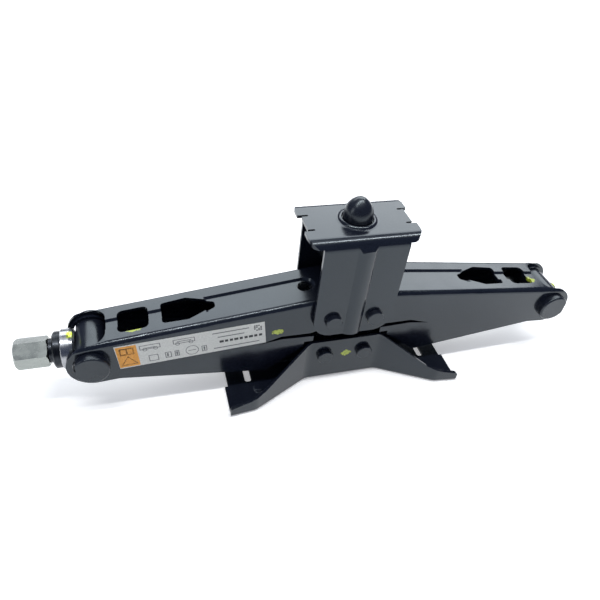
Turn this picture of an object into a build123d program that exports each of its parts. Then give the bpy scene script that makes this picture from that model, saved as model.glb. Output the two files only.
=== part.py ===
"""Scissor jack, folded flat: four pressed-steel arms on a flared base, a saddle tower on top,
two trunnions at the sides and a lead screw between them, turned by a hex head.

Frame: millimetres, +X along the screw towards its free end, -X towards the hex head,
+Y to the rear, +Z up. The origin is the centre of the base's underside.
"""
from build123d import *
import os
from math import acos, atan2, cos, degrees, hypot, pi, radians, sin, tan

os.makedirs("parts", exist_ok=True)

# ---- linkage -------------------------------------------------------------------------------
pivot_half = 16.0            # pivots stand this far each side of the middle
screw_z = 46.4               # height of the screw's axis, folded
arm_rise = 20.4              # a tower or base pivot above or below the screw's axis
trunnion_x = 184.0           # trunnion axis from the middle
top_pivot_z = screw_z + arm_rise
base_pivot_z = screw_z - arm_rise
arm_angle = atan2(arm_rise, trunnion_x - pivot_half)
arm_length = hypot(arm_rise, trunnion_x - pivot_half)

# ---- sheet and layers, as half widths in Y ---------------------------------------------------
sheet = 2.3
upper_ear_half = 19.2        # outer face of an upper arm at its trunnion
upper_root_half = 20.5       # and at its tower pivot
lower_ear_half = 16.6        # the lower arms sit inside the upper ones
lower_root_half = 15.9
lower_sheet = 2.2
base_half = 21.5             # outer face of the base's middle
tower_half = 25.7            # outer face of the tower's walls
layer_gap = 0.35             # left between a rivet's shoulder and the arm it carries

# ---- pivots ---------------------------------------------------------------------------------
rivet_r = 5.0
rivet_head_r = 6.2
rivet_head_height = 3.7      # the heads stand proud of the walls
rivet_shoulder_r = 6.8       # fills the space between a wall and the arm it carries
rivet_tail_r = 6.6
press_gap = 0.02
running_gap = 0.05

# ---- teeth that keep the two sides level -----------------------------------------------------
teeth_full_circle = 10
tooth_addendum = 2.56
tooth_dedendum = 3.2
tooth_pressure = radians(25)
tooth_thinning = 0.2         # each tooth is this much thinner than half a pitch
flank_steps = 4

# ---- upper arm ------------------------------------------------------------------------------
web_top = 17.0               # above the arm's pivot line
upper_bend = 4.0
ear_r = 17.3
ear_shift_u = 0.9            # the ear's centre from the trunnion axis
ear_shift_v = -0.8
arch_u = 13.5                # the web stops here between its ears
arch_corner_r = 10.0
channel_depth = 1.6
channel_wall = 45            # slope of the pressed channel's walls, degrees
channel_half = 8.0           # towards the tower
groove_half = 5.0            # between the windows and at the ear
window_near_u = 21.4
window_far_u = 42.6
window_half = 10.6
window_corner_r = 4.0
pentagon_corner_r = 2.6
pentagon = ((51.5, -10), (51.5, 10), (69.5, 11.2), (89, 2.8), (89, -2.8), (69.5, -11.2))
channel_hole_u = 155.0
channel_hole_r = 5.3

# ---- lower arm ------------------------------------------------------------------------------
lower_web = 13.0             # below the arm's pivot line
lower_flange_top = 9.0
lower_bend = 3.5
lower_ear_r = 14.0           # clear of the upper arm's inner bend all the way up
lower_arch_r = 27.0          # concave ends of the lower web
lower_arch_u = 13.0

# ---- trunnions and screw --------------------------------------------------------------------
trunnion_r = 12.0
trunnion_half = 24.8         # the bar's ends stand proud of the ears
trunnion_rim = 1.5           # rounding of the bar's ends
trunnion_flat = 9.7          # flat on the outer side, from the trunnion's axis
screw_r = 6.0
screw_bore_r = 6.3
screw_tip_x = 199.5
screw_tip_chamfer = 1.0
spigot_r = 5.5

# Stations along the screw's left end, all negative X.
cup_open_x = -202.9
cup_seat_x = -193.8
collar_x = -208.2
hex_inner_x = -211.3
hex_outer_x = -232.6
cup_r = 14.0
cup_wall = 1.6
collar_r = 12.8
neck_r = 8.5
hex_across_flats = 19.0
hex_roll = 35.0              # turn of the hex's flats about the screw, degrees
ball_r = 1.8
ball_count = 12
ball_circle_r = 9.4
race_thickness = 1.6
race_inner_r = 6.6
race_outer_r = 12.2

# ---- tower ----------------------------------------------------------------------------------
tower_top_z = 136.0
tower_bend = 8.0
tower_wall_half_x = 30.5
tower_ear_half_x = 40.0
tower_ear_bottom_z = 131.2
tower_ear_corner_r = 10.0    # in plan
tower_tab_half_x = 37.3      # the tab between the ears stops short of them
tower_slit_x = 32.6          # inner ends of the slits beside the tab
tower_slit_y = 8.5
tower_slit_width = 1.8
tower_lobe_r = 14.5          # corners of the walls, concentric with the pivots
bead_half = 6.6
bead_height = 2.4
bead_crown_z = 122.0         # the bead leans in from here
bead_nose_z = 133.0          # and dies out on the rolled edge
stud_r = 10.3
stud_height = 17.0
ring_inner_r = 10.7
ring_crest_r = 11.9
ring_slope_r = 13.4          # where its outer slope turns hollow
ring_slope_height = 0.7
ring_outer_r = 15.4
ring_height = 1.8

# ---- label, corners as (u, v) on the arm's flange ---------------------------------------------
label_corners = ((17.5, 13.0), (120.3, 8.3), (119.8, -12.9), (17.0, -9.0))
label_thickness = 0.15

# ---- base -----------------------------------------------------------------------------------
base_wall_top = 41.0
wing_start_x = 29.5
base_tip_x = 93.4


def plane_xz(y=0.0):
    """Sketch plane whose axes are world X and Z, facing the front, at the given Y."""
    return Plane(origin=(0, y, 0), x_dir=(1, 0, 0), z_dir=(0, -1, 0))


def upper_at(u, v):
    """World X, Z of a point u along an upper arm from its trunnion and v above its pivot line."""
    x = trunnion_x - u * cos(arm_angle) + v * sin(arm_angle)
    z = screw_z + u * sin(arm_angle) + v * cos(arm_angle)
    return (x, z)


def lower_at(u, v):
    """The same for a lower arm, whose pivot line falls towards the base."""
    x = trunnion_x - u * cos(arm_angle) - v * sin(arm_angle)
    z = screw_z - u * sin(arm_angle) + v * cos(arm_angle)
    return (x, z)


def upper_section_plane(u):
    x, z = upper_at(u, 0)
    return Plane(origin=(x, 0, z), x_dir=(0, 1, 0), z_dir=(cos(arm_angle), 0, -sin(arm_angle)))


def lower_section_plane(u):
    x, z = lower_at(u, 0)
    return Plane(origin=(x, 0, z), x_dir=(0, 1, 0), z_dir=(cos(arm_angle), 0, sin(arm_angle)))


def upper_half(u):
    """Half width of an upper arm at u: it widens evenly from ear to tower."""
    return upper_ear_half + (upper_root_half - upper_ear_half) * u / arm_length


def lower_half(u):
    return lower_ear_half + (lower_root_half - lower_ear_half) * u / arm_length


def channel_section(plane, half, crown, depth, radius):
    """Solid section of a channel: crown is its closed side, rounded, and depth is how far it runs back."""
    centre_v = crown - depth / 2 if crown > 0 else crown + depth / 2
    with BuildSketch(plane) as section:
        with Locations((0, centre_v)):
            Rectangle(2 * half, depth)
        closed_side = section.vertices().group_by(Axis.Y)[-1 if crown > 0 else 0]
        fillet(closed_side, radius)
    return section.sketch


def involute(radius):
    """Angle by which an involute flank has turned at this radius."""
    pressure = acos(min(1.0, pivot_half * cos(tooth_pressure) / radius))
    return tan(pressure) - pressure


def tooth_points(direction):
    """Outline of one tooth that points in this direction, in degrees."""
    root = pivot_half - tooth_dedendum
    base = pivot_half * cos(tooth_pressure)
    tip = pivot_half + tooth_addendum
    at_pitch = pi / (2 * teeth_full_circle) - tooth_thinning / (2 * pivot_half)
    radii = [base + (tip - base) * step / flank_steps for step in range(flank_steps + 1)]
    flank = [(radius, at_pitch + involute(pivot_half) - involute(radius)) for radius in radii]
    flank.insert(0, (root - 1.0, flank[0][1]))
    outline = []
    for side, run in ((-1, flank), (1, flank[::-1])):
        for radius, half_angle in run:
            turn = radians(direction) + side * half_angle
            outline.append((radius * cos(turn), radius * sin(turn)))
    return outline


def toothed_end(pivot_z, directions):
    """Round end of an arm about its tower or base pivot, with its teeth."""
    with Locations((pivot_half, pivot_z)):
        Circle(pivot_half - tooth_dedendum)
        for direction in directions:
            Polygon(*tooth_points(direction), align=None)


def upper_arm(tooth_directions):
    """Upper arm of the +X side: a channel with its web on top, deep flanges, two ears and teeth."""
    with BuildPart() as arm:
        # Tapered channel: a lofted block less a lofted core.
        far_u = arm_length + 20
        for inset, crown, mode in ((0, web_top, Mode.ADD), (sheet, web_top - sheet, Mode.SUBTRACT)):
            ends = [
                channel_section(upper_section_plane(u), upper_half(u) - inset, crown, 80, upper_bend - inset)
                for u in (-30, far_u)
            ]
            loft(sections=ends, mode=mode)

        # Side outline, shared by both flanges and the web.
        with BuildSketch(plane_xz()):
            with Locations(upper_at(ear_shift_u, ear_shift_v)):
                Circle(ear_r)
            with BuildLine():
                Polyline(
                    upper_at(ear_shift_u, ear_shift_v + ear_r),
                    upper_at(arch_u, web_top),
                    upper_at(arm_length, web_top),
                    (pivot_half, top_pivot_z),
                    (20.0, 54.5),
                    (30.0, 51.5),
                    (52.0, 51.5),
                    (69.0, 45.8),
                    (52.0, 48.6),
                    (27.0, 47.8),
                    (27.0, 42.8),
                    (34.0, 42.8),
                    (34.0, 39.0),
                    (62.0, 16.9),
                    upper_at(14.0, -18.4),
                    upper_at(ear_shift_u, ear_shift_v - ear_r),
                    close=True,
                )
            make_face()
            with BuildLine():
                cap_start = degrees(pi / 2 - arm_angle)
                cap = CenterArc((pivot_half, top_pivot_z), web_top, cap_start, 66)
                Polyline(cap @ 1, (pivot_half, top_pivot_z), cap @ 0)
            make_face()
            toothed_end(top_pivot_z, tooth_directions)
        extrude(amount=30, both=True, mode=Mode.INTERSECT)

        # Pressed channel in the web: a boss below, then the hollow above.
        web_plane = Plane(
            origin=(upper_at(0, web_top)[0], 0, upper_at(0, web_top)[1]),
            x_dir=(-cos(arm_angle), 0, sin(arm_angle)),
            z_dir=(sin(arm_angle), 0, cos(arm_angle)),
        )
        for drop, spread, mode in ((sheet, 0.8, Mode.ADD), (0.0, 0.0, Mode.SUBTRACT)):
            with BuildSketch(web_plane.offset(-drop)):
                with Locations((47, 0)):
                    Rectangle(94, 2 * (groove_half + spread))
                with Locations(((channel_hole_u + 82) / 2, 0)):
                    Rectangle(channel_hole_u - 82, 2 * (channel_half + spread))
                with Locations((channel_hole_u, 0)):
                    Circle(channel_half + spread)
            extrude(amount=-channel_depth, taper=channel_wall, mode=mode)

        # Windows, hole and the arch that lets the screw through.
        with BuildSketch(web_plane) as window_five_sided:
            with BuildLine():
                Polyline(*pentagon, close=True)
            make_face()
            fillet(window_five_sided.vertices(), pentagon_corner_r)
        extrude(amount=-9, mode=Mode.SUBTRACT)
        with BuildSketch(web_plane):
            with Locations(((window_near_u + window_far_u) / 2, 0)):
                RectangleRounded(window_far_u - window_near_u, 2 * window_half, window_corner_r)
            with Locations((channel_hole_u, 0)):
                Circle(channel_hole_r)
            RectangleRounded(2 * arch_u, 2 * (upper_half(0) - sheet), arch_corner_r)
            with Locations((-arch_u, 0)):
                Rectangle(2 * arch_u, 2 * (upper_half(0) - sheet))
        extrude(amount=-9, mode=Mode.SUBTRACT)

        # Holes for the trunnion's bar and the tower's rivet.
        with BuildSketch(plane_xz()):
            with Locations((trunnion_x, screw_z)):
                Circle(trunnion_r + running_gap)
            with Locations((pivot_half, top_pivot_z)):
                Circle(rivet_r + running_gap)
        extrude(amount=40, both=True, mode=Mode.SUBTRACT)
    return arm


def lower_arm(tooth_directions):
    """Lower arm of the +X side: a channel with its web underneath, nested inside the upper arm."""
    with BuildPart() as arm:
        far_u = arm_length + 20
        core_web = lower_web - lower_sheet
        for inset, crown, mode in ((0, lower_web, Mode.ADD), (lower_sheet, core_web, Mode.SUBTRACT)):
            ends = [
                channel_section(lower_section_plane(u), lower_half(u) - inset, -crown, 60, lower_bend - inset)
                for u in (-30, far_u)
            ]
            loft(sections=ends, mode=mode)

        with BuildSketch(plane_xz()):
            with Locations((trunnion_x, screw_z)):
                Circle(lower_ear_r)
            with BuildLine():
                Polyline(
                    lower_at(4.0, 12.0),
                    lower_at(26.0, lower_flange_top),
                    lower_at(arm_length - 16, lower_flange_top),
                    lower_at(arm_length, 12.0),
                    lower_at(arm_length + 1.5, -12.6),
                    lower_at(arm_length - 8, -lower_web),
                    lower_at(1.0, -lower_web),
                    close=True,
                )
            make_face()
            toothed_end(base_pivot_z, tooth_directions)
        extrude(amount=30, both=True, mode=Mode.INTERSECT)

        # The web stops short of both ends.
        web_plane = Plane(
            origin=(lower_at(0, -lower_web)[0], 0, lower_at(0, -lower_web)[1]),
            x_dir=(-cos(arm_angle), 0, -sin(arm_angle)),
            z_dir=(-sin(arm_angle), 0, cos(arm_angle)),
        )
        for centre_u, near_u in ((lower_arch_u - lower_arch_r, 0), (arm_length + 8, arm_length)):
            with BuildSketch(web_plane):
                with Locations((centre_u, 0)):
                    Circle(lower_arch_r)
                Rectangle(500, 2 * (lower_half(near_u) - lower_sheet), mode=Mode.INTERSECT)
            extrude(amount=9, mode=Mode.SUBTRACT)

        with BuildSketch(plane_xz()):
            with Locations((trunnion_x, screw_z)):
                Circle(trunnion_r + running_gap)
            with Locations((pivot_half, base_pivot_z)):
                Circle(rivet_r + running_gap)
        extrude(amount=40, both=True, mode=Mode.SUBTRACT)
    return arm


def tooth_directions(start, step, phase):
    """Directions of the teeth an arm needs, from the contact side round to the end of its travel."""
    pitch = 360 / teeth_full_circle
    return [start + step * pitch * (index + phase) for index in range(4)]


def mirrored(arm):
    """The same arm for the -X side."""
    with BuildPart() as other:
        mirror(arm.part, about=Plane.YZ)
    return other


# Contact is at 180 degrees; a tooth on one side meets a gap on the other.
upper_arm_right = upper_arm(tooth_directions(180, 1, -0.5))
upper_arm_left = mirrored(upper_arm(tooth_directions(180, 1, 0)))
lower_arm_right = lower_arm(tooth_directions(180, -1, -0.5))
lower_arm_left = mirrored(lower_arm(tooth_directions(180, -1, 0)))


# ---- rivets that the arms turn on ------------------------------------------------------------
def pivot_rivets(x, z, wall_half, arm_outer, arm_sheet):
    """Front and rear rivet of one pivot: proud head, shoulder up to the arm, shank through it, tail inside."""
    arm_inner = arm_outer - arm_sheet
    with BuildPart() as pair:
        with BuildSketch(Plane.XY):
            with BuildLine():
                Polyline(
                    (0, arm_inner - 2.2),
                    (rivet_tail_r - 1, arm_inner - 2.2),
                    (rivet_tail_r, arm_inner - 1.2),
                    (rivet_tail_r, arm_inner - 0.2),
                    (rivet_r, arm_inner - 0.2),
                    (rivet_r, arm_outer + layer_gap),
                    (rivet_shoulder_r, arm_outer + layer_gap),
                    (rivet_shoulder_r, wall_half - sheet - press_gap),
                    (rivet_r, wall_half - sheet - press_gap),
                    (rivet_r, wall_half + press_gap),
                    (rivet_head_r, wall_half + press_gap),
                    (rivet_head_r, wall_half + rivet_head_height - 0.6),
                    (rivet_head_r - 0.6, wall_half + rivet_head_height),
                    (0, wall_half + rivet_head_height),
                    close=True,
                )
            make_face()
        revolve(axis=Axis.Y)
        mirror(about=Plane.XZ)
    with BuildPart() as placed:
        add(pair.part.moved(Location((x, 0, z))))
    return placed


base_rivets_left = pivot_rivets(-pivot_half, base_pivot_z, base_half, lower_root_half, lower_sheet)
base_rivets_right = pivot_rivets(pivot_half, base_pivot_z, base_half, lower_root_half, lower_sheet)
tower_rivets_left = pivot_rivets(-pivot_half, top_pivot_z, tower_half, upper_root_half, sheet)
tower_rivets_right = pivot_rivets(pivot_half, top_pivot_z, tower_half, upper_root_half, sheet)


def rivet_holes(z):
    """Cutter for the holes of a pair of pivots, through both walls."""
    with BuildPart() as cutter:
        with BuildSketch(plane_xz()):
            with Locations((-pivot_half, z), (pivot_half, z)):
                Circle(rivet_r + press_gap)
        extrude(amount=60, both=True)
    return cutter.part


base_rivet_holes = rivet_holes(base_pivot_z)
tower_rivet_holes = rivet_holes(top_pivot_z)


# ---- base frame ------------------------------------------------------------------------------
def base_outline(inset, reach):
    """Plan of the base: straight in the middle, flared towards both ends."""
    quarter = [(wing_start_x, base_half - inset), (74, 44.3 - 1.12 * inset), (reach, 46.2 - inset)]
    with BuildSketch() as outline:
        with BuildLine():
            rear = FilletPolyline((-reach, quarter[2][1]), (-74, quarter[1][1]), (-wing_start_x, quarter[0][1]),
                                  *quarter, radius=14)
            mirror(about=Plane.XZ)
            Line(rear @ 0, ((rear @ 0).X, -(rear @ 0).Y))
            Line(rear @ 1, ((rear @ 1).X, -(rear @ 1).Y))
        make_face()
    return outline.sketch


with BuildPart() as base_frame:
    extrude(base_outline(0, base_tip_x), amount=base_wall_top)
    bottom_rim = base_frame.faces().sort_by(Axis.Z)[0].edges().filter_by(lambda edge: abs(edge.center().Y) > 15)
    fillet(bottom_rim, 2.6)
    with BuildSketch(Plane.XY.offset(sheet)):
        add(base_outline(sheet, base_tip_x + 5))
    extrude(amount=base_wall_top, mode=Mode.SUBTRACT)
    # Side outline of the walls: level in the middle, falling to the tips.
    with BuildSketch(plane_xz()):
        with BuildLine() as rim:
            FilletPolyline((-95, 0), (-base_tip_x, 8.5), (-80, 11.5), (-66, 16.5), (-28, base_wall_top),
                           (28, base_wall_top), (66, 16.5), (80, 11.5), (base_tip_x, 8.5), (95, 0), radius=4)
            Line(rim.edges().sort_by(Axis.X)[0] @ 0, rim.edges().sort_by(Axis.X)[-1] @ 1)
        make_face()
    extrude(amount=60, both=True, mode=Mode.INTERSECT)
    # End edges step back in the middle; a slot crosses the floor near each end.
    with BuildSketch():
        with Locations((-base_tip_x, 0), (base_tip_x, 0)):
            Rectangle(4.8, 38)
        with Locations((-74.5, 0), (74.5, 0)):
            RectangleRounded(5.0, 34, 2.0)
    extrude(amount=10, mode=Mode.SUBTRACT)
    # Stiffening pips near the corners of the floor.
    with BuildSketch(Plane.XY.offset(sheet - 0.2)):
        with GridLocations(137, 50, 2, 2):
            Circle(4.2)
    extrude(amount=1.6, taper=35)
    add(base_rivet_holes, mode=Mode.SUBTRACT)


# ---- saddle tower ----------------------------------------------------------------------------
def tower_section(inset, bottom):
    """Section of the folded sheet, in the YZ plane: two walls and a top, rounded where they meet."""
    height = tower_top_z - inset - bottom
    with BuildSketch(Plane.YZ) as section:
        with Locations((0, bottom + height / 2)):
            Rectangle(2 * (tower_half - inset), height)
        fillet(section.vertices().group_by(Axis.Y)[-1], tower_bend - inset)
    return section.sketch


def bead_form(inset):
    """The upright bead of both walls: an arc in plan, leaning in at its top to die out on the rolled edge."""
    reach = bead_half - 0.4 * inset
    wall_y = tower_half - inset
    bottom = top_pivot_z - tower_lobe_r - inset
    with BuildPart() as form:
        with BuildSketch(Plane.XY.offset(bottom)):
            with BuildLine():
                ThreePointArc((-reach, wall_y), (0, wall_y + bead_height), (reach, wall_y))
                Polyline((reach, wall_y), (reach, wall_y - 1), (-reach, wall_y - 1), (-reach, wall_y))
            make_face()
        extrude(amount=bead_nose_z - inset - bottom)
        with BuildSketch(Plane.YZ):
            with BuildLine():
                nose_y = tower_half - tower_bend + (tower_bend - inset) * cos(radians(38))
                crest_y = wall_y + bead_height
                nose_z = bead_nose_z - inset
                lean = TangentArc((crest_y, bead_crown_z), (nose_y, nose_z), tangent=(0, 1))
                Polyline(lean @ 1, (0, nose_z), (0, bottom), (crest_y, bottom), lean @ 0)
            make_face()
        extrude(amount=20, both=True, mode=Mode.INTERSECT)
        mirror(about=Plane.XZ)
    return form.part


bead_outside = bead_form(0)
bead_inside = bead_form(sheet)

with BuildPart() as tower_bracket:
    extrude(tower_section(0, 40), amount=tower_ear_half_x, both=True)
    with BuildSketch():
        RectangleRounded(2 * tower_ear_half_x, 2 * tower_half, tower_ear_corner_r)
    extrude(amount=tower_top_z, mode=Mode.INTERSECT)
    add(bead_outside)
    extrude(tower_section(sheet, 30), amount=tower_ear_half_x + 1, both=True, mode=Mode.SUBTRACT)
    add(bead_inside, mode=Mode.SUBTRACT)
    # Front outline: narrow walls with round lower corners, wide curled ears at the top.
    with BuildSketch(plane_xz()):
        with Locations((0, top_pivot_z)):
            RectangleRounded(2 * tower_wall_half_x, 2 * tower_lobe_r, tower_lobe_r - 0.01)
        with Locations((0, (top_pivot_z + tower_top_z) / 2)):
            Rectangle(2 * tower_wall_half_x, tower_top_z - top_pivot_z)
        with Locations((0, tower_ear_bottom_z + 5)):
            RectangleRounded(2 * tower_ear_half_x, 10, 1.5)
    extrude(amount=60, both=True, mode=Mode.INTERSECT)
    # Plan of the top: a short tab in the middle of each side, with a slit each side of it.
    with BuildSketch(Plane.XY.offset(tower_top_z)):
        for side in (-1, 1):
            slit_x = side * (tower_slit_x + 10)
            with Locations((slit_x, -tower_slit_y), (slit_x, tower_slit_y)):
                SlotOverall(20, tower_slit_width)
            with Locations((side * (tower_tab_half_x + 5), 0)):
                Rectangle(10, 2 * tower_slit_y)
    extrude(amount=-10, mode=Mode.SUBTRACT)
    # Raised ring round the stud, pressed from below, and the stud's hole.
    with BuildSketch(Plane.XZ):
        with BuildLine():
            lip_z = tower_top_z + ring_height - 0.8
            Polyline(
                (ring_outer_r, tower_top_z),
                (ring_outer_r, tower_top_z - 1),
                (ring_inner_r, tower_top_z - 1),
                (ring_inner_r, lip_z),
            )
            Spline(
                (ring_inner_r, lip_z),
                (ring_crest_r, tower_top_z + ring_height),
                (ring_slope_r, tower_top_z + ring_slope_height),
                (ring_outer_r, tower_top_z),
                tangents=[(0.4, 1), (1, -0.15)],
            )
        make_face()
    revolve(axis=Axis.Z)
    with BuildSketch(Plane.XY.offset(tower_top_z + 5)):
        Circle(rivet_r + press_gap)
    extrude(amount=-12, mode=Mode.SUBTRACT)
    add(tower_rivet_holes, mode=Mode.SUBTRACT)

with BuildPart() as locating_stud:
    with BuildSketch(Plane.XZ):
        with BuildLine():
            seat = tower_top_z + press_gap
            Polyline((0, seat + stud_height), (0, seat - sheet - 3.4), (rivet_tail_r - 1, seat - sheet - 3.4),
                     (rivet_tail_r, seat - sheet - 2.4), (rivet_tail_r, seat - sheet - 0.2),
                     (rivet_r, seat - sheet - 0.2), (rivet_r, seat), (stud_r, seat), (stud_r, seat + 3.4))
            Spline((stud_r, seat + 3.4), (8.0, seat + 11.6), (3.2, seat + 16.2), (0, seat + stud_height),
                   tangents=[(0, 1), (-1, 0)])
        make_face()
    revolve(axis=Axis.Z)


# ---- trunnions -------------------------------------------------------------------------------
def trunnion(side, bore_r):
    """Cross bar of one side, with round ends, a flat along its outer side and the screw's bore."""
    with BuildPart() as bar:
        with BuildSketch(plane_xz()):
            with Locations((side * trunnion_x, screw_z)):
                Circle(trunnion_r)
        extrude(amount=trunnion_half, both=True)
        fillet(bar.edges().filter_by(GeomType.CIRCLE), trunnion_rim)
        with Locations((side * (trunnion_x + trunnion_flat + 10), 0, screw_z)):
            Box(20, 2 * trunnion_half, 40, mode=Mode.SUBTRACT)
        with BuildSketch(Plane.YZ.offset(side * (trunnion_x - 30))):
            with Locations((0, screw_z)):
                Circle(bore_r)
        extrude(amount=side * 60, mode=Mode.SUBTRACT)
    return bar


trunnion_left = trunnion(-1, screw_bore_r)
trunnion_right = trunnion(1, screw_bore_r)


# ---- screw, drive and thrust bearing -----------------------------------------------------------
def turned(points):
    """A turned part from its half profile, given as (x, radius) pairs along the screw's axis."""
    with BuildPart() as piece:
        with BuildSketch(Plane.XZ):
            with BuildLine():
                Polyline(*[(x, screw_z + radius) for x, radius in points], close=True)
            make_face()
        revolve(axis=Axis((0, 0, screw_z), (1, 0, 0)))
    return piece


def ring(x_start, x_end, inner_r, outer_r, chamfer_size):
    """Washer-shaped turned part with small chamfers on its outer edges."""
    return turned([
        (x_start, inner_r),
        (x_start, outer_r - chamfer_size),
        (x_start + chamfer_size, outer_r),
        (x_end - chamfer_size, outer_r),
        (x_end, outer_r - chamfer_size),
        (x_end, inner_r),
    ])


lead_screw = turned([
    (hex_outer_x + 1, 0),
    (hex_outer_x + 1, spigot_r - 0.6),
    (hex_outer_x + 1.6, spigot_r),
    (hex_inner_x, spigot_r),
    (hex_inner_x, screw_r),
    (screw_tip_x - screw_tip_chamfer, screw_r),
    (screw_tip_x, screw_r - screw_tip_chamfer),
    (screw_tip_x, 0),
])
neck_sleeve = ring(hex_inner_x, collar_x, screw_r + press_gap, neck_r, 0.5)
race_near_x = cup_seat_x - cup_wall
ball_x = race_near_x - race_thickness - ball_r - 0.03
race_far_x = ball_x - ball_r - 0.03
thrust_collar = turned([
    (collar_x, screw_r + press_gap),
    (collar_x, collar_r - 1),
    (collar_x + 1, collar_r),
    (cup_open_x - 0.4, collar_r),
    (cup_open_x - 0.4, race_outer_r - 0.4),
    (race_far_x - race_thickness, race_outer_r - 0.4),
    (race_far_x - race_thickness, screw_r + press_gap),
])
bearing_race_moving = ring(race_far_x - race_thickness, race_far_x, race_inner_r, race_outer_r, 0.4)
bearing_race_fixed = ring(race_near_x - race_thickness, race_near_x, race_inner_r, race_outer_r, 0.4)
bearing_cup = turned([
    (cup_open_x, cup_r - cup_wall),
    (cup_open_x, cup_r - 0.6),
    (cup_open_x + 0.6, cup_r),
    (cup_seat_x - 3.2, cup_r),
    (cup_seat_x - 1.2, cup_r - 0.8),
    (cup_seat_x, cup_r - 3.0),
    (cup_seat_x, race_inner_r),
    (race_near_x, race_inner_r),
    (race_near_x, cup_r - cup_wall),
])

with BuildPart() as bearing_balls:
    with Locations(Plane(origin=(ball_x, 0, screw_z), z_dir=(1, 0, 0))):
        with PolarLocations(ball_circle_r, ball_count):
            Sphere(ball_r)

with BuildPart() as ball_cage:
    with BuildSketch(Plane(origin=(ball_x - 0.8, 0, screw_z), z_dir=(1, 0, 0))):
        Circle(race_outer_r - 0.1)
        Circle(race_inner_r + 0.2, mode=Mode.SUBTRACT)
        with PolarLocations(ball_circle_r, ball_count):
            Circle(ball_r + 0.1, mode=Mode.SUBTRACT)
    extrude(amount=1.6)

with BuildPart() as drive_hex:
    with BuildSketch(Plane(origin=(hex_outer_x, 0, screw_z), x_dir=(0, 1, 0), z_dir=(1, 0, 0))):
        RegularPolygon(hex_across_flats / 2, 6, major_radius=False, rotation=hex_roll)
    extrude(amount=hex_inner_x - hex_outer_x)
    # Turned chamfers take the corners off both ends.
    corner_r = hex_across_flats / 2 / cos(pi / 6)
    with BuildSketch(Plane.XZ):
        with BuildLine():
            Polyline(
                (hex_outer_x, screw_z),
                (hex_outer_x, screw_z + corner_r - 1.5),
                (hex_outer_x + 1.6, screw_z + corner_r + 0.1),
                (hex_inner_x - 0.9, screw_z + corner_r + 0.1),
                (hex_inner_x, screw_z + corner_r - 1.2),
                (hex_inner_x, screw_z),
                close=True,
            )
        make_face()
    revolve(axis=Axis((0, 0, screw_z), (1, 0, 0)), mode=Mode.INTERSECT)
    with BuildSketch(Plane(origin=(hex_outer_x - 1, 0, screw_z), z_dir=(1, 0, 0))):
        Circle(spigot_r + press_gap)
    extrude(amount=30, mode=Mode.SUBTRACT)


# ---- information label on the left upper arm ----------------------------------------------------
def label_solid():
    """A thin sheet stuck to the front flange, cut out of a skin just proud of it."""
    with BuildPart() as sticker:
        for lift, mode in ((label_thickness, Mode.ADD), (0.0, Mode.SUBTRACT)):
            ends = [
                channel_section(upper_section_plane(u), upper_half(u) + lift, web_top, 80, upper_bend)
                for u in (-30, arm_length + 20)
            ]
            loft(sections=ends, mode=mode)
        with BuildSketch(plane_xz()):
            with BuildLine():
                Polyline(*[upper_at(u, v) for u, v in label_corners], close=True)
            make_face()
        extrude(amount=40, mode=Mode.INTERSECT)
    return sticker


info_label = mirrored(label_solid())

pieces = {
    "base_frame": base_frame,
    "base_rivets_left": base_rivets_left,
    "base_rivets_right": base_rivets_right,
    "lower_arm_left": lower_arm_left,
    "lower_arm_right": lower_arm_right,
    "upper_arm_left": upper_arm_left,
    "upper_arm_right": upper_arm_right,
    "info_label": info_label,
    "tower_bracket": tower_bracket,
    "tower_rivets_left": tower_rivets_left,
    "tower_rivets_right": tower_rivets_right,
    "locating_stud": locating_stud,
    "trunnion_left": trunnion_left,
    "trunnion_right": trunnion_right,
    "lead_screw": lead_screw,
    "drive_hex": drive_hex,
    "neck_sleeve": neck_sleeve,
    "thrust_collar": thrust_collar,
    "bearing_cup": bearing_cup,
    "bearing_race_fixed": bearing_race_fixed,
    "bearing_race_moving": bearing_race_moving,
    "bearing_balls": bearing_balls,
    "ball_cage": ball_cage,
}
for name, piece in pieces.items():
    piece.part.label = name
    export_step(piece.part, f"parts/{name}.step")
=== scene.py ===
"""Scissor jack, folded flat: softened sheet-steel edges, a rolled thread, a printed label, coats and plating.

Sizes and places on the jack, and the camera's place, are in millimetres until MM turns them into metres.
Those of the floor and the lights are in metres.
"""
from math import atan2, cos, hypot, pi, radians, sin

import bmesh
import bpy
from mathutils import Matrix, Vector


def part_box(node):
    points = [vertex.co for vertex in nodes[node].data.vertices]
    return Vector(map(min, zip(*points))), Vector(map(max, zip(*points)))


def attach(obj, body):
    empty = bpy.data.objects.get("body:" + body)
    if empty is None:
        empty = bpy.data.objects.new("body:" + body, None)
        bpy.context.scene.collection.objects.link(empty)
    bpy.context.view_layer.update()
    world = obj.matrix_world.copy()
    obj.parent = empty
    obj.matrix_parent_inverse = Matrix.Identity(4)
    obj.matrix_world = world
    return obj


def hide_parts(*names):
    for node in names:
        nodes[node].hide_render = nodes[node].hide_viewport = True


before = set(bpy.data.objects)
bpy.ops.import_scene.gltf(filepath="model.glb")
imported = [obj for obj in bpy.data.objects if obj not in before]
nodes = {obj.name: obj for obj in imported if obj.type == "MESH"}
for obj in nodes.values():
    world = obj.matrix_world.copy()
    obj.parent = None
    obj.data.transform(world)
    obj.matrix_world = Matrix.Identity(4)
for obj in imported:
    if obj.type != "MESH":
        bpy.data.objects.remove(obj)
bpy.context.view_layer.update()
scene = bpy.context.scene
MM = 0.001

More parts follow.
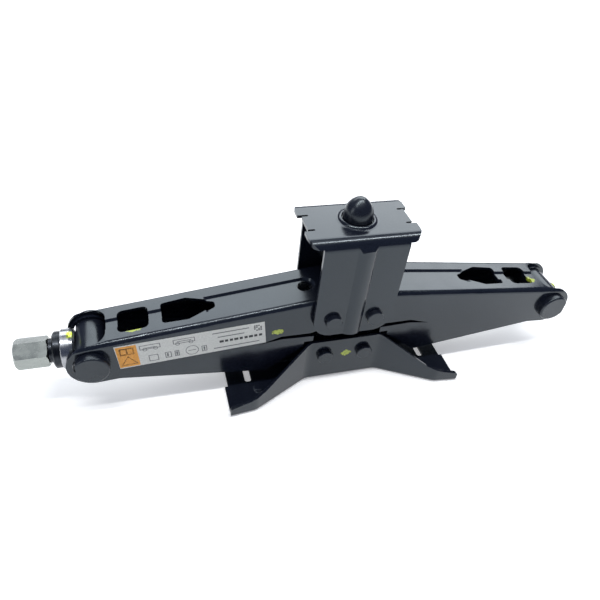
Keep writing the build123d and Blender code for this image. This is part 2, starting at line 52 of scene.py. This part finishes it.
# ---- the linkage ------------------------------------------------------------------------------------
cup_low, cup_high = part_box("bearing_cup")
screw_low, screw_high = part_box("lead_screw")
screw_z = (cup_low.z + cup_high.z) / 2 / MM
screw_r = (screw_high.z - screw_low.z) / 2 / MM
trunnion_x = 184.0
arm_rise, arm_reach = 20.4, 168.0
arm_angle = atan2(arm_rise, arm_reach)
arm_length = hypot(arm_rise, arm_reach)
ear_half, root_half = 19.2, 20.5
web_top = 17.0


def arm_point(side, u, v, y=None):
    """World point, in metres, u along an upper arm from its trunnion and v above its pivot line."""
    x = trunnion_x - u * cos(arm_angle) + v * sin(arm_angle)
    z = screw_z + u * sin(arm_angle) + v * cos(arm_angle)
    front = -(ear_half + (root_half - ear_half) * u / arm_length)
    return Vector((side * x, front if y is None else y, z)) * MM


# ---- material nodes ---------------------------------------------------------------------------------
WHOLE = (0, 1)


def new_material(name):
    material = bpy.data.materials.new(name)
    material.use_nodes = True
    tree = material.node_tree
    tree.nodes.clear()
    output = tree.nodes.new("ShaderNodeOutputMaterial")
    shader = tree.nodes.new("ShaderNodeBsdfPrincipled")
    tree.links.new(shader.outputs["BSDF"], output.inputs["Surface"])
    return material, tree, shader


def object_point(tree):
    return tree.nodes.new("ShaderNodeTexCoord").outputs["Object"]


def noise(tree, point, scale, detail=2.0, stretch=(1, 1, 1)):
    mapping = tree.nodes.new("ShaderNodeMapping")
    mapping.inputs["Scale"].default_value = stretch
    texture = tree.nodes.new("ShaderNodeTexNoise")
    texture.inputs["Scale"].default_value = scale
    texture.inputs["Detail"].default_value = detail
    tree.links.new(point, mapping.inputs["Vector"])
    tree.links.new(mapping.outputs["Vector"], texture.inputs["Vector"])
    return texture.outputs["Fac"]


def remap(tree, value, span, result):
    """The value taken from the span to the result, and held at the result's ends outside the span."""
    ramp = tree.nodes.new("ShaderNodeMapRange")
    ramp.clamp = True
    for socket, number in zip(("From Min", "From Max", "To Min", "To Max"), (*span, *result)):
        ramp.inputs[socket].default_value = number
    tree.links.new(value, ramp.inputs["Value"])
    return ramp.outputs["Result"]


def combine(tree, operation, first, second):
    maths = tree.nodes.new("ShaderNodeMath")
    maths.operation = operation
    for socket, value in zip(maths.inputs, (first, second)):
        if isinstance(value, (int, float)):
            socket.default_value = value
        else:
            tree.links.new(value, socket)
    return maths.outputs["Value"]


def vector_maths(tree, operation, first, second=(0, 0, 0), output="Vector"):
    maths = tree.nodes.new("ShaderNodeVectorMath")
    maths.operation = operation
    tree.links.new(first, maths.inputs[0])
    maths.inputs[1].default_value = second
    return maths.outputs[output]


def blend_colours(tree, share, first, second):
    mixer = tree.nodes.new("ShaderNodeMix")
    mixer.data_type = "RGBA"
    for socket, value in ((mixer.inputs[6], first), (mixer.inputs[7], second)):
        if isinstance(value, tuple):
            socket.default_value = (*value, 1)
        else:
            tree.links.new(value, socket)
    tree.links.new(share, mixer.inputs["Factor"])
    return mixer.outputs[2]


def bump(tree, shader, height, strength, distance_mm):
    relief = tree.nodes.new("ShaderNodeBump")
    relief.inputs["Strength"].default_value = strength
    relief.inputs["Distance"].default_value = distance_mm * MM
    tree.links.new(height, relief.inputs["Height"])
    tree.links.new(relief.outputs["Normal"], shader.inputs["Normal"])


# ---- finishes ---------------------------------------------------------------------------------------
paint_yellow = (0.40, 0.47, 0.045)
paint_roughness = 0.45
dust_grey = (0.07, 0.075, 0.085)


def daub_mask(tree, point, daubs):
    """1 inside brushed paint marks, each a (centre, reach along X, Y, Z in mm), with ragged edges."""
    wobble = combine(tree, "MULTIPLY", noise(tree, point, scale=330, detail=4), 1.5)
    thin = remap(tree, noise(tree, point, scale=900), (0.36, 0.52), (0.55, 1))
    mask = None
    for centre, reach in daubs:
        offset = vector_maths(tree, "SUBTRACT", point, centre)
        scaled = vector_maths(tree, "DIVIDE", offset, Vector(reach) * MM)
        distance = vector_maths(tree, "LENGTH", scaled, output="Value")
        spot = remap(tree, combine(tree, "ADD", distance, wobble), (1.55, 1.8), (1, 0))
        mask = spot if mask is None else combine(tree, "MAXIMUM", mask, spot)
    return combine(tree, "MULTIPLY", mask, thin)


def coat(name, dark, light, roughness, daubs=()):
    """Gloss electro-coat over steel: faint orange peel, dust and handling marks, and any paint daubs."""
    material, tree, shader = new_material(name)
    point = object_point(tree)
    cloud = remap(tree, noise(tree, point, scale=26, detail=4), (0.35, 0.65), WHOLE)
    colour = blend_colours(tree, cloud, dark, light)
    dust = remap(tree, noise(tree, point, scale=1300), (0.68, 0.78), (0, 0.3))
    colour = blend_colours(tree, dust, colour, dust_grey)
    handled = noise(tree, point, scale=45, detail=3)
    gloss = remap(tree, handled, (0.3, 0.7), (roughness * 0.85, roughness * 1.3))
    if daubs:
        mask = daub_mask(tree, point, daubs)
        colour = blend_colours(tree, mask, colour, paint_yellow)
        gloss = combine(tree, "MAXIMUM", gloss, combine(tree, "MULTIPLY", mask, paint_roughness))
    tree.links.new(colour, shader.inputs["Base Color"])
    tree.links.new(gloss, shader.inputs["Roughness"])
    shader.inputs["IOR"].default_value = 1.55
    shader.inputs["Specular Tint"].default_value = (0.84, 0.95, 1.0, 1)
    bump(tree, shader, noise(tree, point, scale=700), strength=0.1, distance_mm=0.04)
    return material


def metal(name, dark, light, roughness, grain, grain_stretch, daubs=()):
    """Bare or plated metal: two tones, fine grain, uneven gloss."""
    material, tree, shader = new_material(name)
    point = object_point(tree)
    streak = noise(tree, point, grain, detail=5, stretch=grain_stretch)
    colour = blend_colours(tree, remap(tree, streak, (0.3, 0.7), WHOLE), dark, light)
    uneven = noise(tree, point, grain * 0.6, detail=4)
    gloss = remap(tree, uneven, (0.3, 0.7), (roughness * 0.8, roughness * 1.25))
    if daubs:
        colour = blend_colours(tree, daub_mask(tree, point, daubs), colour, paint_yellow)
    tree.links.new(colour, shader.inputs["Base Color"])
    tree.links.new(gloss, shader.inputs["Roughness"])
    shader.inputs["Metallic"].default_value = 1.0
    bump(tree, shader, streak, strength=0.15, distance_mm=0.05)
    return material


def print_ink(name, colour):
    """Screen-printed ink on film, slightly mottled."""
    material, tree, shader = new_material(name)
    point = object_point(tree)
    mottle = noise(tree, point, scale=800, detail=3)
    darker = tuple(channel * 0.86 for channel in colour)
    tint = blend_colours(tree, remap(tree, mottle, (0.35, 0.65), WHOLE), colour, darker)
    tree.links.new(tint, shader.inputs["Base Color"])
    tree.links.new(remap(tree, mottle, (0.3, 0.7), (0.38, 0.5)), shader.inputs["Roughness"])
    bump(tree, shader, noise(tree, point, scale=1600, detail=1), strength=0.05, distance_mm=0.02)
    return material


window_edge_left = arm_point(-1, 32.5, web_top, -9.7)
window_edge_right = arm_point(1, 21.6, web_top, -4.0)
flange_mark = Vector((-54.9, -20.2, 57.2)) * MM
base_mark = Vector((1.5, -21.5, 25.4)) * MM
cup_mark = Vector((-195.8, -0.6, screw_z + 14)) * MM
tip_mark = Vector((199.5, -2, screw_z + 4)) * MM
coat_daubs = [
    (window_edge_left, (5.2, 3.2, 3.2)),
    (window_edge_right, (4.2, 5.0, 3.2)),
    (flange_mark, (4.4, 3.0, 2.6)),
    (base_mark, (4.4, 3.0, 3.2)),
]

coated_steel = coat(
    "coated_steel", dark=(0.0042, 0.0056, 0.0115), light=(0.0075, 0.0095, 0.0165),
    roughness=0.17, daubs=coat_daubs,
)
coated_pins = coat(
    "coated_pins", dark=(0.0042, 0.0055, 0.0105), light=(0.0075, 0.0092, 0.0155), roughness=0.26,
)
zinc_hex = metal(
    "zinc_hex", dark=(0.28, 0.30, 0.285), light=(0.34, 0.365, 0.345),
    roughness=0.26, grain=240, grain_stretch=(0.3, 1, 1),
)
zinc_bright = metal(
    "zinc_bright", dark=(0.30, 0.31, 0.325), light=(0.40, 0.41, 0.43),
    roughness=0.24, grain=260, grain_stretch=(4, 0.6, 0.6), daubs=[(cup_mark, (3.4, 4.2, 3.0))],
)
dark_steel = metal(
    "dark_steel", dark=(0.022, 0.025, 0.03), light=(0.05, 0.054, 0.06),
    roughness=0.3, grain=300, grain_stretch=(3, 0.6, 0.6),
)
bearing_steel = metal(
    "bearing_steel", dark=(0.55, 0.55, 0.57), light=(0.68, 0.68, 0.7),
    roughness=0.18, grain=320, grain_stretch=(1, 1, 1),
)
screw_steel = metal(
    "screw_steel", dark=(0.05, 0.052, 0.05), light=(0.11, 0.112, 0.105),
    roughness=0.3, grain=300, grain_stretch=(1, 1, 1), daubs=[(tip_mark, (5, 5, 5))],
)
label_film = print_ink("label_film", (0.58, 0.59, 0.56))
ink_orange = print_ink("ink_orange", (0.70, 0.30, 0.03))
ink_dark = print_ink("ink_dark", (0.025, 0.025, 0.028))
ink_grey = print_ink("ink_grey", (0.13, 0.135, 0.14))

finish_of = {
    "base_frame": coated_steel,
    "base_rivets_left": coated_pins,
    "base_rivets_right": coated_pins,
    "lower_arm_left": coated_steel,
    "lower_arm_right": coated_steel,
    "upper_arm_left": coated_steel,
    "upper_arm_right": coated_steel,
    "info_label": label_film,
    "tower_bracket": coated_steel,
    "tower_rivets_left": coated_pins,
    "tower_rivets_right": coated_pins,
    "locating_stud": coated_pins,
    "trunnion_left": coated_pins,
    "trunnion_right": coated_pins,
    "lead_screw": screw_steel,
    "drive_hex": zinc_hex,
    "neck_sleeve": dark_steel,
    "thrust_collar": dark_steel,
    "bearing_cup": zinc_bright,
    "bearing_race_fixed": bearing_steel,
    "bearing_race_moving": bearing_steel,
    "bearing_balls": bearing_steel,
    "ball_cage": dark_steel,
}
for node_name, material in finish_of.items():
    node = nodes[node_name]
    node.data.materials.clear()
    node.data.materials.append(material)


# ---- pieces -----------------------------------------------------------------------------------------
def piece_from(mesh_build, name, material, body):
    """A finished piece at the origin, its place in its mesh, riding on its body."""
    mesh = bpy.data.meshes.new(name)
    mesh_build.to_mesh(mesh)
    mesh_build.free()
    mesh.materials.append(material)
    piece = bpy.data.objects.new(name, mesh)
    scene.collection.objects.link(piece)
    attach(piece, body)
    return piece


def softened(node_name, body, edge_mm):
    """A CAD piece's own shape with its cut edges rounded as pressing, tumbling and paint leave them."""
    weld_mm = 0.002
    flat_within, sharp_from = radians(0.4), radians(32)
    build = bmesh.new()
    build.from_mesh(nodes[node_name].data)
    bmesh.ops.remove_doubles(build, verts=build.verts, dist=weld_mm * MM)
    bmesh.ops.dissolve_limit(build, angle_limit=flat_within, verts=build.verts, edges=build.edges)
    piece = piece_from(build, node_name + "_soft", finish_of[node_name], body)
    piece.data.shade_smooth()
    rounding = piece.modifiers.new("edges", "BEVEL")
    rounding.width = edge_mm * MM
    rounding.segments = 2
    rounding.limit_method = "ANGLE"
    rounding.angle_limit = sharp_from
    level_normals = piece.modifiers.new("flat faces", "WEIGHTED_NORMAL")
    level_normals.mode = "FACE_AREA"
    level_normals.weight = 100
    level_normals.keep_sharp = True
    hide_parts(node_name)


for node_name, body, edge_mm in (
    ("upper_arm_left", "upper_arm_left", 0.45),
    ("upper_arm_right", "upper_arm_right", 0.45),
    ("lower_arm_left", "lower_arm_left", 0.4),
    ("lower_arm_right", "lower_arm_right", 0.4),
    ("base_frame", "base", 0.45),
    ("tower_bracket", "tower", 0.45),
):
    softened(node_name, body, edge_mm)
softened("drive_hex", "screw", edge_mm=0.35)


# ---- lead screw: a core and one long helical ridge --------------------------------------------------
def screw_station(x, radius):
    return Vector((x, 0, screw_z + radius)) * MM


def lead_screw():
    """Turned core with a rolled trapezoid thread between the bearing and the free end."""
    pitch, ridge_foot, ridge_crest = 3.0, 2.1, 0.9
    core_r, neck_r = 4.8, 5.5
    crest_r, buried_r = screw_r - 0.02, core_r - 0.3
    head_x, shoulder_x, thread_x, tip_x = screw_low.x / MM, -211.3, -192.0, screw_high.x / MM
    head_chamfer, shoulder_slope, tip_chamfer = 0.6, 1.2, 0.8
    core_steps, steps_per_turn = 40, 20
    turns_short_of_tip = 0.2
    spin_axis = {"cent": screw_station(0, 0), "axis": (1, 0, 0), "use_duplicate": False}

    build = bmesh.new()
    profile = [
        (head_x, 0),
        (head_x, neck_r - head_chamfer),
        (head_x + head_chamfer, neck_r),
        (shoulder_x, neck_r),
        (shoulder_x, screw_r),
        (thread_x, screw_r),
        (thread_x + shoulder_slope, core_r),
        (tip_x - tip_chamfer, core_r),
        (tip_x, core_r - tip_chamfer),
        (tip_x, 0),
    ]
    corners = [build.verts.new(screw_station(x, radius)) for x, radius in profile]
    line = [build.edges.new(pair) for pair in zip(corners, corners[1:])]
    bmesh.ops.spin(build, geom=corners + line, dvec=(0, 0, 0), angle=2 * pi, steps=core_steps,
                   use_merge=True, **spin_axis)

    flank = (ridge_foot - ridge_crest) / 2
    ridge = [
        (thread_x, buried_r),
        (thread_x, core_r),
        (thread_x + flank, crest_r),
        (thread_x + ridge_foot - flank, crest_r),
        (thread_x + ridge_foot, core_r),
        (thread_x + ridge_foot, buried_r),
    ]
    section = build.faces.new([build.verts.new(screw_station(x, radius)) for x, radius in ridge])
    turns = (tip_x - thread_x - ridge_foot) / pitch - turns_short_of_tip
    steps = int(turns * steps_per_turn)
    advance = (pitch / steps_per_turn * MM, 0, 0)
    swept = bmesh.ops.spin(build, geom=list(section.edges), dvec=advance, steps=steps,
                           angle=2 * pi * steps / steps_per_turn, use_merge=False, **spin_axis)
    last_edges = [part for part in swept["geom_last"] if isinstance(part, bmesh.types.BMEdge)]
    bmesh.ops.contextual_create(build, geom=last_edges)
    bmesh.ops.remove_doubles(build, verts=build.verts, dist=0.001 * MM)
    bmesh.ops.recalc_face_normals(build, faces=build.faces)
    screw = piece_from(build, "lead_screw_threaded", screw_steel, "screw")
    screw.data.set_sharp_from_angle(angle=radians(35))
    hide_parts("lead_screw")


lead_screw()

# ---- print on the label -----------------------------------------------------------------------------
label_start, label_length = 17.2, 103
middle_at_start, middle_at_end = 2.0, -2.3
height_at_end, height_growth = 21.6, 0.9
panel_u, panel_length, film_margin = 24.45, 13.7, 0.5
signs_u = 24.5


def label_share(u):
    return (u - label_start) / label_length


def label_middle(u):
    """Height of the label's middle line at u: it falls slightly towards the tower."""
    return middle_at_start + label_share(u) * (middle_at_end - middle_at_start)


# The orange panel and its signs are level with the label's middle line at panel_line_u.
panel_line_u = 24.4
panel_v = label_middle(panel_line_u)
panel_height = height_at_end - height_growth * (1 - label_share(panel_line_u)) - film_margin


class Print:
    """One ink of the label: thin closed shapes, placed u along and v across the arm's flange."""

    film_mm, ink_mm = 0.15, 0.02
    lean = radians(-2.6)

    def __init__(self):
        self.build = bmesh.new()
        slope = (root_half - ear_half) / arm_length
        along = Vector((cos(arm_angle), -slope, sin(arm_angle)))
        across = Vector((-sin(arm_angle), 0, cos(arm_angle)))
        origin = arm_point(-1, 0, 0) / MM
        rows = Matrix((along, across, Vector((0, -1, 0)))).transposed().to_4x4()
        self.flange = Matrix.Scale(MM, 4) @ Matrix.Translation(origin) @ rows

    def shifted(self, u, v, du, dv):
        return (u + du * cos(self.lean) - dv * sin(self.lean), v + du * sin(self.lean) + dv * cos(self.lean))

    def spot(self, u, dv):
        """The place dv above the label's middle line at u."""
        return self.shifted(u, label_middle(u), 0, dv)

    def place(self, u, v, turn, above_film):
        middle = Vector((u, v, self.film_mm + above_film))
        return self.flange @ Matrix.Translation(middle) @ Matrix.Rotation(turn, 4, "Z")

    def bar(self, u, v, length, height):
        size = Matrix.Diagonal((length, height, self.ink_mm, 1))
        bmesh.ops.create_cube(self.build, size=1, matrix=self.place(u, v, self.lean, self.ink_mm / 2) @ size)

    def frame_of_bars(self, u, v, length, height, line):
        for shift in (-1, 1):
            self.bar(*self.shifted(u, v, 0, shift * (height - line) / 2), length, line)
            self.bar(*self.shifted(u, v, shift * (length - line) / 2, 0), line, height - 2 * line)

    def ring(self, u, v, radius, line, sides=28, turn=0.0, stretch=1.0):
        made = bmesh.ops.create_circle(self.build, cap_ends=True, segments=sides, radius=radius)
        face = made["verts"][0].link_faces[0]
        rim = bmesh.ops.inset_individual(self.build, faces=[face], thickness=line)["faces"]
        bmesh.ops.delete(self.build, geom=[face], context="FACES_ONLY")
        raised = bmesh.ops.extrude_face_region(self.build, geom=rim)["geom"]
        top = [part for part in raised if isinstance(part, bmesh.types.BMVert)]
        bmesh.ops.translate(self.build, verts=top, vec=(0, 0, self.ink_mm))
        whole = {corner for part in rim for corner in part.verts} | set(top)
        shape = self.place(u, v, turn, above_film=0) @ Matrix.Diagonal((stretch, 1, 1, 1))
        bmesh.ops.transform(self.build, verts=list(whole), matrix=shape)

    def finish(self, name, material):
        bmesh.ops.recalc_face_normals(self.build, faces=self.build.faces)
        return piece_from(self.build, name, material, "upper_arm_left")


def print_orange_panel():
    panel = Print()
    panel.bar(panel_u, panel_v, panel_length, panel_height)
    panel.finish("label_orange_panel", ink_orange)


def print_signs():
    """A framed bar over an outlined triangle, on the orange panel."""
    signs = Print()
    upper = signs.shifted(signs_u, panel_v, 0, 4.9)
    lower = signs.shifted(signs_u, panel_v, 0, -5.4)
    signs.frame_of_bars(*upper, length=9.8, height=6.8, line=1.1)
    signs.bar(*upper, length=1.0, height=4.6)
    signs.ring(*lower, radius=5.8, line=1.05, sides=3, turn=signs.lean, stretch=1.15)
    signs.finish("label_signs", ink_dark)


def print_outlines():
    """Grey frames, rings and rules, in an upper and a lower row."""
    greys = Print()
    lower_row, dial = -5.2, greys.spot(67.5, -4.8)
    for u, dv, length, height in ((40, 6.0, 14, 4.2), (63, 6.0, 15, 4.2), (41, -5.5, 6.6, 6.2)):
        greys.frame_of_bars(*greys.spot(u, dv), length, height, line=0.55)
    for u, length in ((51, 4.4), (57, 3.2), (76, 3.8)):
        greys.frame_of_bars(*greys.spot(u, lower_row), length, height=5.6, line=0.6)
    for u in (50.6, 57, 76):
        greys.bar(*greys.spot(u, lower_row), length=1.2, height=3.4)
    greys.ring(*dial, radius=4.6, line=0.5)
    greys.bar(*dial, length=5.4, height=0.6)
    greys.bar(*greys.spot(63, 6.0), length=9.4, height=0.6)
    greys.bar(*greys.spot(40, 5.2), length=8.6, height=0.6)
    for u in (36.4, 43.6, 58.4, 67.6):
        greys.ring(*greys.spot(u, 3.9), radius=1.6, line=0.5, sides=16)
    for u, dv, length in ((95.5, 7.4, 26), (95.5, 3.2, 19), (99, -7.4, 33)):
        greys.bar(*greys.spot(u, dv), length, height=0.9)
    greys.finish("label_outlines", ink_grey)


def print_blocks():
    """A line of small blocks, every third one wider, and a patch of squares beside it."""
    blocks = Print()
    line_start, line_step, line_dv = 88.5, 3.5, -1.5
    patch_u, patch_dv, patch_step = 112.6, 3.6, 1.5
    for index in range(9):
        length = 2.3 if index % 3 else 3.0
        blocks.bar(*blocks.spot(line_start + index * line_step, line_dv), length, height=2.3)
    for row in range(4):
        for column in range(4):
            if (row * 3 + column * 5) % 4:
                square = blocks.spot(patch_u + column * patch_step, patch_dv + row * patch_step)
                blocks.bar(*square, length=1.1, height=1.1)
    blocks.finish("label_blocks", ink_dark)


print_orange_panel()
print_signs()
print_outlines()
print_blocks()

# ---- floor and camera -------------------------------------------------------------------------------
floor_build = bmesh.new()
bmesh.ops.create_grid(floor_build, x_segments=1, y_segments=1, size=6)
floor_mesh = bpy.data.meshes.new("floor")
floor_build.to_mesh(floor_mesh)
floor_build.free()
floor = bpy.data.objects.new("floor", floor_mesh)
scene.collection.objects.link(floor)
floor_paper, floor_tree, floor_shader = new_material("floor_paper")
floor_shader.inputs["Base Color"].default_value = (0.86, 0.86, 0.86, 1)
floor_shader.inputs["Roughness"].default_value = 0.9
floor_shader.inputs["Emission Color"].default_value = (1, 1, 1, 1)
floor_shader.inputs["Emission Strength"].default_value = 0.32
floor_mesh.materials.append(floor_paper)

camera_data = bpy.data.cameras.new("camera")
camera_data.lens = 32.81
camera_data.sensor_width = 36
camera_data.clip_start = 0.01
camera = bpy.data.objects.new("camera", camera_data)
scene.collection.objects.link(camera)
camera_place = Vector((-139.0, -286.6, 337.9)) * MM
camera_yaw, camera_pitch, camera_roll = 0.35127, -0.72585, 0.12470
ahead = Vector((sin(camera_yaw) * cos(camera_pitch), cos(camera_yaw) * cos(camera_pitch), sin(camera_pitch)))
level_right = Vector((cos(camera_yaw), -sin(camera_yaw), 0))
level_up = level_right.cross(ahead)
picture_right = level_right * cos(camera_roll) + level_up * sin(camera_roll)
picture_up = level_up * cos(camera_roll) - level_right * sin(camera_roll)
camera_turn = Matrix((picture_right, picture_up, -ahead)).transposed()
camera.matrix_world = Matrix.Translation(camera_place) @ camera_turn.to_4x4()
scene.camera = camera

# ---- light ------------------------------------------------------------------------------------------
light_target = Vector((0, 0, 0.05))


def soft_box(name, place, size, watts, colour=(1, 1, 1)):
    light = bpy.data.lights.new(name, "AREA")
    light.shape = "RECTANGLE"
    light.size, light.size_y = size
    light.energy = watts
    light.color = colour
    box = bpy.data.objects.new(name, light)
    box.location = place
    box.rotation_mode = "QUATERNION"
    box.rotation_quaternion = (light_target - Vector(place)).to_track_quat("-Z", "Y")
    scene.collection.objects.link(box)


soft_box("back_box", place=(0.35, 1.15, 1.05), size=(2.3, 0.95), watts=26, colour=(0.95, 0.98, 1.0))
soft_box("top_box", place=(0.0, -0.15, 1.3), size=(1.7, 0.07), watts=13)
soft_box("left_box", place=(-1.3, -0.2, 0.6), size=(0.3, 0.7), watts=1.6)

overhead_span = (0.84, 1.0)
side_sky, overhead_sky, backdrop = (0.10, 0.12, 0.18), (1.5, 1.55, 1.62), (0.93, 0.93, 0.93)
world = bpy.data.worlds.new("world")
world.use_nodes = True
sky = world.node_tree
direction = sky.nodes.new("ShaderNodeSeparateXYZ")
sky.links.new(sky.nodes.new("ShaderNodeTexCoord").outputs["Generated"], direction.inputs["Vector"])
height_share = remap(sky, direction.outputs["Z"], overhead_span, WHOLE)
sky_colour = blend_colours(sky, height_share, side_sky, overhead_sky)
seen = sky.nodes.new("ShaderNodeLightPath").outputs["Is Camera Ray"]
sky.links.new(blend_colours(sky, seen, sky_colour, backdrop), sky.nodes["Background"].inputs["Color"])
scene.world = world
scene.view_settings.view_transform = "Standard"
